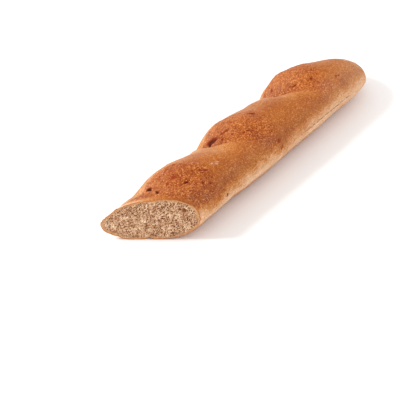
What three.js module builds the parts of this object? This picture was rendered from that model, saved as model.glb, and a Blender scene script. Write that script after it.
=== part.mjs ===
// A long crusty loaf, round at one end and cut off on a slant at the other.
//
// Units are millimetres and +Z is up. The loaf lies along X on its flattened base, with the cut at
// -X and the round tip at +X. The origin is the middle of the loaf's box, at the level of its base.
//
// The crust is one surface of two parameters: the distance along the loaf from the middle of the
// cut, and the angle round it, which is 0 at the +Y side, 90 at the crown, 180 at the -Y side and
// 270 in the middle of the base. Three slanting scores opened as the dough rose. Each left a furrow,
// and past the furrow a swollen bloom that sinks slowly back towards the next one.

import * as THREE from 'three';

// Driving dimensions of the plain loaf.

const LENGTH = 336.4; // from the middle of the cut to the tip
const WIDTH = 71.5;
const CROWN_HEIGHT = 44.4; // the crown above the base, where no bloom swells it
const AXIS_HEIGHT = 22.7; // the widest level of the section, above the base
const BASE_SINK = 2.1; // how far the section dips below the base before it is flattened
const CROWN_POWER = 2.15; // 2 is an ellipse, and more is squarer
const BELLY_POWER = 2.37;
const ROLL = 12.2; // degrees that the section leans over towards the +Y side

const CAP_LENGTH = 75.3; // the stretch that closes into the tip
const CAP_POWER = 2.74;
const CAP_ROOT = 2.1;
const CAP_FLATTEN = 1.48; // above 1, the height closes sooner than the width
const TIP_DROP = 7.5; // how far the tip's middle lies below the axis
const BOW = -0.4; // sideways, at mid-length

const CUT_ANGLE = 53.3; // degrees between the cut and the loaf's length, seen from above

// The scores. Each furrow crosses the crown on a slant: start is where it passes the reference
// angle, slant is the further distance that it runs for each degree, and swell is how far the bloom
// behind it stands out. The first opened before the cut, and the last only ends the third bloom.

const FURROW_ANGLE = 50;
const FURROWS = [
  { start: -92, slant: 0.3, swell: 6 },
  { start: 14.7, slant: 0.3, swell: 10.3 },
  { start: 110.1, slant: 0.27, swell: 14.7 },
  { start: 217.5, slant: 0.3, swell: 15.1 },
  { start: 345, slant: 0.495, swell: 0 },
];
const RISE_LENGTH = 33.9; // from a furrow to the height of its bloom
const RISE_POWER = 1.14;
const RISE_SOFTER = 0.9; // added to that power where the crease softens
const SOFT_FROM = 66; // the angle from which a crease softens on its way over the crown
const SOFT_OVER = 55; // the degrees that it takes to do so
const FALL_POWER = 1.25;
const SWELL_LEVEL = 0.6; // the share of the swell that is drawn from the plain loaf's own section
const SWELL_ANGLE = 56.6; // the side of the crown where the blooms swell most
const SWELL_SPREAD = 57;

// Places where the dough rose more or less than the rest: the middle of each, how far it reaches
// along the loaf and round it in degrees, and its height. The first ones shape the end at the cut.

const LUMPS = [
  { along: -27, angle: 2, reach: 10, spread: 17, height: 2 },
  { along: -20, angle: 34, reach: 14, spread: 13, height: -1.6 },
  { along: -20, angle: -37, reach: 14, spread: 18, height: -2.9 },
  { along: 12, angle: 152, reach: 12, spread: 13, height: -0.6 },
  { along: 10, angle: 121, reach: 12, spread: 16, height: 1.5 },
  { along: 7, angle: 11, reach: 9, spread: 21, height: 3.8 },
  { along: 64, angle: 53, reach: 8, spread: 30, height: 0.9 },
  { along: 80, angle: 218, reach: 9, spread: 20, height: -1.3 },
  { along: 103, angle: 32, reach: 7, spread: 24, height: 2 },
  { along: 106, angle: 92, reach: 11, spread: 30, height: -2.8 },
  { along: 168, angle: 55, reach: 13, spread: 30, height: 0.9 },
  { along: 194, angle: 54, reach: 14, spread: 45, height: 3.2 },
  { along: 206, angle: 60, reach: 8, spread: 32, height: 2 },
  { along: 229, angle: 19, reach: 9, spread: 20, height: 1.5 },
  { along: 247, angle: 45, reach: 10, spread: 25, height: 1.7 },
  { along: 256, angle: 220, reach: 25, spread: 20, height: -1.6 },
  { along: 292, angle: 69, reach: 14, spread: 25, height: -2.5 },
  { along: 317, angle: 191, reach: 13, spread: 27, height: 3.3 },
  { along: 318, angle: 112, reach: 12, spread: 32, height: 1.1 },
];

// The torn crust of each bloom, rough from its furrow up to an almond-shaped edge.

const TEAR_FROM = 25; // degrees
const TEAR_TO = 195;
const TEAR_LENGTH = 44; // along the loaf, at its widest
const TEAR_EDGE = 6; // over which the roughness fades out
const TEAR_RELIEF = 0.55;
const TEAR_WAVE = 4.3;
const TEAR_WINDING = 4; // how much busier the tears are round the loaf than along it
const LOAF_RELIEF = 0.35; // the gentle unevenness of the whole loaf
const LOAF_WAVE = 21;
const FURROW_DEPTH = 1.3; // of the narrow groove at the foot of each bloom
const FURROW_WIDTH = 2.6;

// The deepest pits that the tears left open: the middle of each, its size and its turn from the
// loaf's length.

const PITS = [
  { along: 119.5, angle: 59, length: 15, width: 4.6, depth: 2.8, turn: -54 },
  { along: 22.5, angle: 60, length: 7, width: 5, depth: 1.6, turn: 20 },
  { along: 40, angle: 97, length: 9, width: 5, depth: 1.4, turn: 60 },
  { along: 150, angle: 152, length: 9, width: 5, depth: 1.2, turn: 30 },
];

// The mesh: rows along the loaf, closer together at the tip, and columns round it.

const ROWS = 100;
const COLUMNS = 56;
const ROW_CROWDING = 1.6;
const CUT_STEPS = 8; // repeats that bring a point of the rim onto the cut

const clamp01 = (value) => Math.min(Math.max(value, 0), 1);

function smoothStep(value) {
  const t = clamp01(value);
  return t * t * (3 - 2 * t);
}

/** A power that keeps the sign of its base. */
function signedPower(base, power) {
  return Math.sign(base) * Math.abs(base) ** power;
}

/** The angle again, wrapped so that it breaks at the middle of the base. */
function wrapAngle(angle) {
  return ((angle + 90) % 360) - 90;
}

/** Where a furrow crosses the given angle, along the loaf. */
function furrowAt(furrow, angle) {
  return furrow.start + (angle - FURROW_ANGLE) * furrow.slant;
}

/** The bloom that a point lies on: its swell, and its distances from the furrows either side. */
function bloomAt(along, angle) {
  let index = 0;
  while (index < FURROWS.length - 2 && along >= furrowAt(FURROWS[index + 1], angle)) {
    index += 1;
  }
  const past = along - furrowAt(FURROWS[index], angle);
  const left = furrowAt(FURROWS[index + 1], angle) - along;
  return { swell: FURROWS[index].swell, past, left };
}

/** How soft the creases are at an angle: 0 down the +Y side, 1 once they have crossed the crown. */
function softnessAt(angle) {
  return smoothStep((angle - SOFT_FROM) / SOFT_OVER);
}

/** How far a bloom lifts the crust: a round rise out of its furrow, then a long fall to the next. */
function bloomLift(bloom, angle) {
  const risen = clamp01(bloom.past / RISE_LENGTH);
  const fallen = clamp01((bloom.past - RISE_LENGTH) / (bloom.past + bloom.left - RISE_LENGTH));
  const power = RISE_POWER + RISE_SOFTER * softnessAt(angle);
  return Math.sin((Math.PI / 2) * risen) ** power - fallen ** FALL_POWER;
}

/** How deep the narrow grooves at the feet of the blooms are at a point. */
function grooveDepth(along, angle) {
  const depths = FURROWS.map((furrow) => {
    const off = (along - furrowAt(furrow, angle)) / FURROW_WIDTH;
    return furrow.swell > 0 ? FURROW_DEPTH * Math.exp(-(off ** 2)) : 0;
  });
  return Math.max(...depths) * (1 - softnessAt(angle));
}

/** 1 on the torn crust of a bloom and 0 off it, with a soft edge at the far side. */
function tearAt(bloom, angle) {
  const round = clamp01((angle - TEAR_FROM) / (TEAR_TO - TEAR_FROM));
  const reach = TEAR_LENGTH * Math.sqrt(Math.sin(Math.PI * round));
  return smoothStep((reach - bloom.past) / TEAR_EDGE);
}

/** Gentle unevenness made of three crossing waves, between about -1 and 1. */
function waves(along, round, scale) {
  const a = Math.sin(along / scale + round * 2.1);
  const b = Math.sin(along / (scale * 0.62) - round * 3.3 + 1.7);
  const c = Math.sin(along / (scale * 1.7) + round * 5.2 + 0.6);
  return (a + b + c) / 3;
}

/** How far the lumps raise the crust at a point. */
function lumpHeight(along, angle) {
  let height = 0;
  for (const lump of LUMPS) {
    const turned = THREE.MathUtils.euclideanModulo(angle - lump.angle + 180, 360) - 180;
    const away = ((along - lump.along) / lump.reach) ** 2 + (turned / lump.spread) ** 2;
    height += lump.height * Math.exp(-away);
  }
  return height;
}

/** How deep the pits are at a point. */
function pitDepth(along, angle) {
  const millimetresPerDegree = (Math.PI * WIDTH) / 360;
  let depth = 0;
  for (const pit of PITS) {
    const turn = THREE.MathUtils.degToRad(pit.turn);
    const dx = along - pit.along;
    const dy = (angle - pit.angle) * millimetresPerDegree;
    const u = (dx * Math.cos(turn) - dy * Math.sin(turn)) / (pit.length / 2);
    const v = (dx * Math.sin(turn) + dy * Math.cos(turn)) / (pit.width / 2);
    depth += pit.depth * Math.exp(-(u ** 2 + v ** 2));
  }
  return depth;
}

/** How far the crust stands out from the plain section, from swell, lumps, tears and hollows. */
function reliefAt(along, angle) {
  const round = THREE.MathUtils.degToRad(angle);
  const spread = Math.exp(-(((angle - SWELL_ANGLE) / SWELL_SPREAD) ** 2));
  const bloom = bloomAt(along, angle);
  const swollen = bloom.swell * (bloomLift(bloom, angle) - SWELL_LEVEL) * spread;
  const torn = TEAR_RELIEF * tearAt(bloom, angle) * waves(along, TEAR_WINDING * round, TEAR_WAVE);
  const uneven = LOAF_RELIEF * waves(along, round, LOAF_WAVE) + lumpHeight(along, angle);
  return swollen + torn + uneven - grooveDepth(along, angle) * spread - pitDepth(along, angle);
}

/** The point of the crust at a distance along the loaf and an angle round it. */
function crustPoint(along, angleRound) {
  const angle = wrapAngle(angleRound);
  const radians = THREE.MathUtils.degToRad(angle);
  const cos = Math.cos(radians);
  const sin = Math.sin(radians);
  const capped = clamp01((along - (LENGTH - CAP_LENGTH)) / CAP_LENGTH);
  const closing = (1 - capped ** CAP_POWER) ** (1 / CAP_ROOT);

  const power = 2 / (sin >= 0 ? CROWN_POWER : BELLY_POWER);
  const height = sin >= 0 ? CROWN_HEIGHT - AXIS_HEIGHT : AXIS_HEIGHT + BASE_SINK;
  const relief = reliefAt(along, angle) * closing;
  const across = (WIDTH / 2) * signedPower(cos, power) * closing + relief * cos;
  const up = height * signedPower(sin, power) * closing ** CAP_FLATTEN + relief * sin;

  const roll = THREE.MathUtils.degToRad(ROLL);
  const share = along / LENGTH;
  const y = across * Math.cos(roll) + up * Math.sin(roll) + BOW * 4 * share * (1 - share);
  const z = up * Math.cos(roll) - across * Math.sin(roll) + AXIS_HEIGHT - TIP_DROP * capped ** 2;
  return new THREE.Vector3(along, y, Math.max(z, 0));
}

/** Where the upright cut meets the crust at an angle round the loaf. */
function cutDistance(angle) {
  const slope = Math.tan(THREE.MathUtils.degToRad(CUT_ANGLE));
  let along = 0;
  for (let step = 0; step < CUT_STEPS; step += 1) {
    along = -crustPoint(along, angle).y / slope;
  }
  return along;
}

/** The whole loaf as one closed surface: the crust, a fan over the tip and a fan over the cut. */
function loafGeometry() {
  const points = [];
  const triangles = [];
  for (let row = 0; row < ROWS; row += 1) {
    const share = 1 - (1 - row / ROWS) ** ROW_CROWDING;
    for (let column = 0; column < COLUMNS; column += 1) {
      const angle = (column / COLUMNS) * 360;
      const start = cutDistance(angle);
      points.push(crustPoint(start + (LENGTH - start) * share, angle));
    }
  }
  const tip = points.push(crustPoint(LENGTH, 0)) - 1;
  const cutMiddle = points.push(new THREE.Vector3(0, 0, AXIS_HEIGHT)) - 1;

  for (let column = 0; column < COLUMNS; column += 1) {
    const next = (column + 1) % COLUMNS;
    for (let row = 0; row < ROWS - 1; row += 1) {
      const here = row * COLUMNS;
      const ahead = here + COLUMNS;
      triangles.push(here + column, ahead + next, ahead + column);
      triangles.push(here + column, here + next, ahead + next);
    }
    const last = (ROWS - 1) * COLUMNS;
    triangles.push(last + column, last + next, tip);
    triangles.push(cutMiddle, next, column);
  }

  const geometry = new THREE.BufferGeometry();
  geometry.setFromPoints(points);
  geometry.setIndex(triangles);
  return geometry;
}

/** Moves a geometry so that the origin is the middle of its box, at the level of its base. */
function standOnOrigin(geometry) {
  geometry.computeBoundingBox();
  const middle = geometry.boundingBox.getCenter(new THREE.Vector3());
  geometry.translate(-middle.x, -middle.y, -geometry.boundingBox.min.z);
  geometry.computeVertexNormals();
  return geometry;
}

const crustMaterial = new THREE.MeshStandardMaterial({
  name: 'crust',
  color: 0xbf7548,
  roughness: 0.72,
  metalness: 0,
});

const loaf = new THREE.Mesh(standOnOrigin(loafGeometry()), crustMaterial);
loaf.name = 'loaf';

const baguette = new THREE.Group();
baguette.add(loaf);

export default baguette;
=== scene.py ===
# %% [markdown]
# # A cut baguette
#
# The loaf is bread with two very different surfaces. Outside is the crust: smooth, golden skin that
# three slanting scores tore open, so that rough, darker blooms swelled out of it. At the cut end the
# crumb shows, a pale foam of open bubbles inside a thin brown rim.
#
# The packed model gives the plain solid, and its box fixes where everything here goes.

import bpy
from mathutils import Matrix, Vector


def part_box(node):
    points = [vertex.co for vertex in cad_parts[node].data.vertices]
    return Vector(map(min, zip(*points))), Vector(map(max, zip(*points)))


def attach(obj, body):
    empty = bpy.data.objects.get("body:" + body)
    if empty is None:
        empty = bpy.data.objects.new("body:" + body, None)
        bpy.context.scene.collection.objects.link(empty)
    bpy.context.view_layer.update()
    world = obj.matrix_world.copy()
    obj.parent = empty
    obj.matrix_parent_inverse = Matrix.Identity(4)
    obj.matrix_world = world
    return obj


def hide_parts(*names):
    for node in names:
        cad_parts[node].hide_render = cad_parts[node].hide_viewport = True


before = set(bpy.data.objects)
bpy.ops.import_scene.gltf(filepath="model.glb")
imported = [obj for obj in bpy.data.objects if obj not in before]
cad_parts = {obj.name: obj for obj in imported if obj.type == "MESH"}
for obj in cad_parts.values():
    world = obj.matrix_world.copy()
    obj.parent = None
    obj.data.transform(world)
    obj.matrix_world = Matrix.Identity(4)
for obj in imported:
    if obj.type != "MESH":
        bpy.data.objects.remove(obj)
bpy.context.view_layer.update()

import math
from itertools import product

import bpy
import numpy as np
from mathutils import Vector

MM = 0.001
node_low, node_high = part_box("loaf")
print("loaf box in mm:", [round(v / MM, 1) for v in (*node_low, *node_high)])

# %% [markdown]
# ## The plain loaf
#
# A baguette could be sculpted, but its form is regular enough for a formula. One function of two
# parameters gives every point of the crust: the distance along the loaf from the middle of the cut,
# and the angle round it, which is 0 at the +Y side, 90 at the crown, 180 at the -Y side and 270
# under the base. The solid model uses the same formula and nearly the same sizes, so the two
# surfaces agree to about a millimetre.

# %% Sizes of the plain loaf, in millimetres
LENGTH = 336.4
WIDTH = 71.5
CROWN_HEIGHT = 44.4
AXIS_HEIGHT = 22.7
BASE_SINK = 2.1  # how far the section would reach below the base if it weren't flattened
BASE_EDGE = 2.4  # how softly the flattened base rounds up into the flanks
CROWN_POWER = 2.15  # of the superellipse above its widest level
BELLY_POWER = 2.37  # and below it, where it is squarer
ROLL = math.radians(12.2)
CAP_LENGTH = 75.3  # over which the loaf closes into its tip
CAP_POWER = 2.74  # the higher, the later it starts to close
CAP_ROOT = 2.1  # the higher, the blunter the tip
CAP_FLATTEN = 1.48  # how much sooner the height closes than the width
TIP_DROP = 7.5  # how far the axis sinks on its way to the tip
BOW = -0.4  # sideways, half way along
CUT_ANGLE = math.radians(53.3)  # between the cut and the length of the loaf
DEGREE_LENGTH = math.pi * WIDTH / 360  # millimetres round the loaf for each degree
SEAM_SIDE = 1.8  # where the seam of the rolled dough runs under the loaf
SEAM_WIDTH = 2.1
SEAM_DEPTH = 2.3
SEAM_FADE = 110  # along the loaf
print("plain section:", WIDTH, "mm wide and", CROWN_HEIGHT, "mm high")


# %% Three curves that everything is made of
def smooth(value):
    """0 below 0, 1 above 1, and 3t^2 - 2t^3 between them."""
    t = np.clip(value, 0, 1)
    return t * t * (3 - 2 * t)


def hump(value):
    """A bell of height 1 at 0: e to the power of minus the square."""
    return np.exp(-np.square(value))


def signed_power(base, power):
    """A power of the size of the base that keeps the base's sign."""
    return np.sign(base) * np.abs(base) ** power


print("a quarter of the way, smooth is", smooth(0.25), "and hump is", round(float(hump(0.25)), 3))


# %% Surface of the plain loaf
def section_point(along, angle, relief):
    """Points of the crust in millimetres, from arrays of distance, angle in degrees and relief.

    The section is a superellipse, squarer under its widest level, that closes into the tip by the
    root of one minus a power. The relief stands straight out of the axis. The section is then
    rolled over a little, and flattened where it would reach below the base: half the sum of the
    height and the root of its square plus a small square.
    """
    turn = np.radians(angle)
    cos, sin = np.cos(turn), np.sin(turn)
    capped = np.clip((along - (LENGTH - CAP_LENGTH)) / CAP_LENGTH, 0, 1)
    closing = (1 - capped ** CAP_POWER) ** (1 / CAP_ROOT)
    over = sin >= 0
    power = 2 / np.where(over, CROWN_POWER, BELLY_POWER)
    height = np.where(over, CROWN_HEIGHT - AXIS_HEIGHT, AXIS_HEIGHT + BASE_SINK)
    across = WIDTH / 2 * signed_power(cos, power) * closing + relief * closing * cos
    up = height * signed_power(sin, power) * closing ** CAP_FLATTEN + relief * closing * sin
    share = along / LENGTH
    y = across * np.cos(ROLL) + up * np.sin(ROLL) + BOW * 4 * share * (1 - share)
    z = up * np.cos(ROLL) - across * np.sin(ROLL) + AXIS_HEIGHT - TIP_DROP * capped ** 2
    base = (math.hypot(BASE_SINK, BASE_EDGE) - BASE_SINK) / 2
    z = np.maximum((z + np.sqrt(z * z + BASE_EDGE ** 2)) / 2 - base, 0)
    seam = SEAM_DEPTH * hump((y - SEAM_SIDE) / SEAM_WIDTH) * hump(along / SEAM_FADE)
    z = z + seam * (z < CROWN_HEIGHT / 4)
    return np.stack([along, y, z], axis=-1)


half_way = section_point(np.array(LENGTH / 2), np.array(90.0), np.array(0.0))
print("crown half way along, in mm:", half_way.round(1))

# %% [markdown]
# ## Blooms and tears
#
# A score is a slanting slash in the raw dough. In the oven it opens from one side: the crust lifts
# steeply out of the furrow, and sinks slowly back towards the next one, which gives the loaf its
# rope-like twist. Past each furrow the skin is torn, in an almond shape that is widest near the
# crown. On the +Y side the furrow is a sharp crease, and past the crown it softens into a dip.
#
# Each bloom could be a piece of its own, but the real crust is one skin. So the blooms are a
# relief: a height for every distance and angle, steered by a few numbers for each furrow.

# %% Sizes of the furrows, blooms and lumps
FURROW_ANGLE = 50
FURROWS = np.array([  # where it passes that angle, millimetres further for each degree, swell behind it
    (-92, 0.3, 6),
    (14.7, 0.3, 10.3),
    (110.1, 0.27, 14.7),
    (217.5, 0.3, 15.1),
    (345, 0.495, 0),
])
RISE_LENGTH = 33.9  # from the furrow to the top of the bloom
RISE_POWER = 1.14
RISE_SOFTER = 0.9  # added to that power where the crease softens
SOFT_FROM, SOFT_OVER = 66, 55  # degrees over which a furrow's crease softens as it crosses the crown
FALL_POWER = 1.25
SWELL_LEVEL = 0.6  # the share of a swell that a furrow lies below the plain loaf
SWELL_ANGLE = 56.6  # where round the loaf the blooms swell most
SWELL_SPREAD = 57
FURROW_DEPTH = 1.3
FURROW_WIDTH = 2.6
WAVE_HEIGHT = 0.35
WAVE_LENGTH = 21
WAVES = np.array([(1, 2.1, 0), (0.62, -3.3, 1.7), (1.7, 5.2, 0.6)])  # share of length, twist, start

LUMPS = np.array([  # along, angle, reach along, reach in degrees, height
    (-27, 2, 10, 17, 2.0), (-20, 34, 14, 13, -1.6), (-20, -37, 14, 18, -2.9),
    (12, 152, 12, 13, -0.6), (10, 121, 12, 16, 1.5), (37, 215, 14, 20, 0.4),
    (7, 11, 9, 21, 3.8), (103, 32, 7, 24, 2.0), (106, 92, 11, 30, -2.8),
    (194, 54, 14, 45, 3.2), (206, 60, 8, 32, 2.0), (80, 218, 9, 20, -1.3),
    (125, 215, 30, 20, 0.8), (256, 220, 25, 20, -1.6), (247, 45, 10, 25, 1.7),
    (292, 69, 14, 25, -2.5), (317, 191, 13, 27, 3.3), (64, 53, 8, 30, 0.9),
    (168, 55, 13, 30, 0.9), (229, 19, 9, 20, 1.5), (318, 112, 12, 32, 1.1),
])
print(len(FURROWS) - 2, "furrows on the piece and", len(LUMPS), "lumps and hollows")


# %% Swelling of the blooms
def bloom_fields(along, angle):
    """The bloom under each point: its number, its swell, and the distances from both its furrows."""
    start, slant = FURROWS[:, 0, None, None], FURROWS[:, 1, None, None]
    crossing = start + (angle - FURROW_ANGLE) * slant
    number = (along >= crossing[1:-1]).sum(axis=0)
    past = along - np.take_along_axis(crossing, number[None], axis=0)[0]
    left = np.take_along_axis(crossing, number[None] + 1, axis=0)[0] - along
    return number, FURROWS[number, 2], past, left


def softness(angle):
    """How soft a crease is at this angle: 0 down the +Y side, 1 once it has crossed the crown."""
    return smooth((angle - SOFT_FROM) / SOFT_OVER)


def swelling(along, angle):
    """How far the blooms lift the crust: a sine out of the furrow, less a slow power to the next,
    with long waves and single bell-shaped lumps added."""
    number, swell, past, left = bloom_fields(along, angle)
    risen = np.clip(past / RISE_LENGTH, 0, 1)
    fallen = np.clip((past - RISE_LENGTH) / (past + left - RISE_LENGTH), 0, 1)
    steepness = RISE_POWER + RISE_SOFTER * softness(angle)
    lift = np.sin(np.pi / 2 * risen) ** steepness - fallen ** FALL_POWER
    deep = FURROW_DEPTH * (1 - softness(angle))
    groove = deep * hump(past / FURROW_WIDTH) * (swell > 0) * (number > 0)
    before = deep * hump(left / FURROW_WIDTH) * (number < len(FURROWS) - 2)
    spread = hump((angle - SWELL_ANGLE) / SWELL_SPREAD)
    share, twist, start = (column[:, None, None] for column in WAVES.T)
    waves = np.sin(along / (WAVE_LENGTH * share) + np.radians(angle) * twist + start).mean(axis=0)
    place, at_angle, reach, reach_round, height = (column[:, None, None] for column in LUMPS.T)
    turned = (angle - at_angle + 180) % 360 - 180
    lumps = (height * hump((along - place) / reach) * hump(turned / reach_round)).sum(axis=0)
    return (swell * (lift - SWELL_LEVEL) - groove - before) * spread + WAVE_HEIGHT * waves + lumps


sampled = swelling(np.arange(0, LENGTH, 48)[:, None], np.full((1, 1), 60.0))
print("swelling every 48 mm along the +Y shoulder:", sampled.ravel().round(1))

# %% Reach of the tears
TEARS = np.array([  # degrees from and to, length, roughness
    (45, 205, 0, 1.1), (45, 205, 41, 1.2), (38, 205, 49, 0.62), (28, 168, 54, 0.22)])
TEAR_RISE, TEAR_SINK = 0.53, 1.6  # powers of the almond's two ends


def tear_reach(number, angle):
    """How far a tear reaches past its furrow: t to one power times 1 - t to another, made 1 at most."""
    begin, end, length, _ = TEARS[number].transpose(2, 0, 1)
    t = np.clip((angle - begin) / (end - begin), 0, 1)
    peak = TEAR_RISE / (TEAR_RISE + TEAR_SINK)
    shape = t ** TEAR_RISE * (1 - t) ** TEAR_SINK
    return length * shape / (peak ** TEAR_RISE * (1 - peak) ** TEAR_SINK)


print("longest tears in mm:", TEARS[1:, 2])

# %% [markdown]
# ## Noise from numpy
#
# Baked dough is uneven at every scale. Blender's displacement could add that, but it would hide the
# places where the colours have to follow the relief. So the noise is worked out here, as arrays:
# hills of any size, open bubbles for the crumb and the pores of the tears, and cobbles for crags.


# %% Repeatable draws and hills
def cell_random(cells, seed):
    """A repeatable draw from 0 to 1 for each whole-number cell: its three numbers are multiplied by
    large odd ones, combined bit by bit and stirred twice."""
    x, y, z = (cells[..., axis].astype(np.int64) for axis in range(3))
    mixed = (x * 73856093) ^ (y * 19349663) ^ (z * 83492791) ^ (seed * 2971215073)
    mixed = (mixed ^ (mixed >> 15)) * 668265263 & 0xFFFFFFFF
    mixed = (mixed ^ (mixed >> 13)) * 374761393 & 0xFFFFFFFF
    return ((mixed ^ (mixed >> 16)) & 0xFFFFFF) / float(0x1000000)


def hills(points, size, seed):
    """Smooth hills from -1 to 1, about `size` millimetres across: draws at the corners of a cubic
    lattice, blended by 6t^5 - 15t^4 + 10t^3 along each axis."""
    scaled = points / size
    corner = np.floor(scaled).astype(np.int64)
    t = scaled - corner
    t = t ** 3 * (t * (6 * t - 15) + 10)
    total = np.zeros(points.shape[:-1])
    for offset in product((0, 1), repeat=3):
        share = np.prod(np.where(offset, t, 1 - t), axis=-1)
        total += share * cell_random(corner + offset, seed)
    return 2 * total - 1


test_line = np.linspace(0, 20, 6)[:, None] * np.array([1.0, 0.5, 0.2])
print("hills along a line:", hills(test_line, 8, 1).round(2))


# %% Bubbles
def bubbles(points, size, radii, seed, filled=1.0):
    """How deep open bubbles lie under a surface, in millimetres, 0 where there is none.

    The foam is one sphere in each cube of a lattice, its middle and its radius drawn at random, and
    the third coordinate runs into the bread. A point is in a bubble where its distance from the
    middle is under the radius. The bubble's far wall is deeper than the point by the depth of the
    middle plus the root of the radius squared less the sideways distance squared.
    """
    smallest, largest = radii
    scaled = points / size
    home = np.floor(scaled).astype(np.int64)
    deepest = np.zeros(points.shape[:-1])
    for offset in product((-1, 0, 1), repeat=3):
        cell = home + offset
        middle = np.stack([cell_random(cell, seed + axis) for axis in range(3)], axis=-1) + cell
        away = (middle - scaled) * size
        radius = smallest + (largest - smallest) * cell_random(cell, seed + 3) ** 2
        sideways = np.square(away[..., :2]).sum(axis=-1)
        wall = np.sqrt(np.maximum(radius ** 2 - sideways, 0))
        inside = (np.abs(away[..., 2]) < wall) & (cell_random(cell, seed + 4) < filled)
        deepest = np.maximum(deepest, np.where(inside, away[..., 2] + wall, 0))
    return deepest


print("bubbles along the same line:", bubbles(test_line, 3, (0.8, 1.4), 1).round(2))


# %% Cobbles
def cobbles(points, size, seed):
    """Rounded lumps with cracks between them: 0 in a crack, 1 on a lump.

    One point is drawn at random in each cube of a lattice. The distance to the nearest of them is
    taken from the distance to the second nearest, which gives 0 halfway between two of them.
    """
    scaled = points / size
    home = np.floor(scaled).astype(np.int64)
    nearest = np.full(points.shape[:-1], 9.0)
    second = nearest.copy()
    for offset in product((-1, 0, 1), repeat=3):
        cell = home + offset
        middle = np.stack([cell_random(cell, seed + axis) for axis in range(3)], axis=-1) + cell
        away = np.linalg.norm(middle - scaled, axis=-1)
        second = np.minimum(second, np.maximum(nearest, away))
        nearest = np.minimum(nearest, away)
    return smooth((second - nearest) * 2)


print("cobbles along the same line:", cobbles(test_line, 3, 1).round(2))

# %% [markdown]
# ## Pits, slits and flour
#
# Where gas burst through a tear, it left dark pits. A row of small slits runs low along one flank,
# where the dough's seam stretched. They could be cut out one by one, but a mark that is only a
# place, a size and a turn can steer the relief and the colour alike. One function works out how
# strongly every point of the crust feels any list of marks.

# %% Pits, lips and flour: along, angle, length, width, depth and turn in degrees
PITS = [
    (22.8, 58.6, 5.6, 5.4, 2.6, 0), (17.0, 87.6, 9, 2.4, 2.4, 35), (42.7, 109.4, 5.2, 2.8, 2.0, -25),
    (33.4, 85.3, 5, 3.6, 0.7, 20), (41.7, 87.2, 5.4, 3.4, 0.6, -10), (28.5, 96, 4, 2.2, 1.0, 10),
    (61.5, 111.8, 5.2, 2.3, 1.2, -60), (64.8, 118.5, 4.6, 2.2, 1.2, -50), (56.2, 74, 4, 2.6, 1.2, -40),
    (67.4, 186.8, 5, 2.4, 1.4, 62), (65.1, 174, 3.6, 2, 1.0, 60), (51, 132, 3.4, 2.2, 0.9, 10),
    (119.8, 57.8, 15, 5, 1.6, -54), (116.6, 54.5, 5, 4, 2.2, -40), (130.5, 74, 13, 1.7, 0.9, -40),
    (123.4, 75.8, 3.2, 2.6, 1.2, 0), (164.7, 90.4, 4.8, 3.4, 2.2, -53), (138.2, 102.3, 2.8, 1.8, 1.0, 0),
    (142.2, 106.1, 5.4, 1.8, 1.3, -45), (145.2, 112.4, 3.6, 1.9, 1.1, -80), (155.1, 164, 5.5, 4, 0.9, 60),
    (156.6, 181.2, 7.5, 2.2, 1.2, 58), (168.4, 156.5, 3.6, 2, 0.8, 60), (238.4, 87.2, 5.6, 1.6, 1.2, -20),
    (253, 104, 2.8, 2.5, 1.3, 0), (272.5, 132.6, 3, 2.4, 1.1, 0), (276, 135.5, 2.4, 2, 0.9, 0),
    (206, 38, 5, 2.4, 1.2, 10), (29, 24, 6, 2.6, 1.2, 15), (228, 47, 5, 2.5, 1.0, 25),
]
LIPS = [  # thin ridges beside the largest tears
    (240, 80, 36, 2.6, 0.6, -42), (121, 68, 12, 2.4, 0.5, -54), (19.6, 97, 5, 3.4, 0.8, 20)]
FLOUR = [
    (74.8, 113.5, 3, 2, 0.9, 0), (77.4, 119, 4.6, 2.2, 1, -50), (80.4, 117, 5.4, 1.8, 0.7, -50),
    (311, 110, 6, 3.4, 0.9, 0),
]
print(len(PITS), "pits,", len(LIPS), "lips and", len(FLOUR), "floury spots")

# %% Slits of the seam
SLIT_FROM, SLIT_OPEN, SLIT_TO, SLIT_STEP = 94, 197, 279, 4.6  # the seam opens past the second
SLIT_ANGLE, SLIT_CLIMB = 188.8, 0.02  # degrees, and degrees that it climbs for each millimetre back
# Each slit's draws are its shifts along and round, length, width, depth, more depth where open, turn.
SLIT_LEAST = (-1.5, -0.6, 2.6, 1.4, 0.1, 0.2, -5)
SLIT_MOST = (1.5, 0.6, 5.2, 1.9, 0.25, 0.4, 5)

slit_along = np.arange(SLIT_FROM, SLIT_TO, SLIT_STEP)
slit_draws = np.random.default_rng(41).uniform(SLIT_LEAST, SLIT_MOST, (len(slit_along), len(SLIT_MOST))).T
seam_climb = SLIT_CLIMB * np.maximum(SLIT_OPEN - 5 - slit_along, 0)
slit_depth = slit_draws[4] + slit_draws[5] * smooth((slit_along - SLIT_OPEN + 20) / 40)
SLITS = np.stack([slit_along + slit_draws[0], SLIT_ANGLE - seam_climb + slit_draws[1],
                  slit_draws[2], slit_draws[3], slit_depth, slit_draws[6]], axis=-1)
print(len(SLITS), "slits, up to", slit_depth.max().round(2), "mm deep")


# %% Depth of marks
def marks(along, angle, places, sharpness=2):
    """The depth of all the marks at each point, as flat-bottomed bells on turned ovals."""
    depth = np.zeros(along.shape)
    for place, at_angle, length, width, deep, turned in places:
        turn = math.radians(turned)
        ahead = along - place
        around = (angle - at_angle) * DEGREE_LENGTH
        u = (ahead * math.cos(turn) - around * math.sin(turn)) / (length / 2)
        v = (ahead * math.sin(turn) + around * math.cos(turn)) / (width / 2)
        depth = np.maximum(depth, deep * np.exp(-(u * u + v * v) ** sharpness))
    return depth


first_pit = np.array(PITS[0])
print("depth at the first pit's middle:", marks(first_pit[:1], first_pit[1:2], PITS), "mm")

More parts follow.
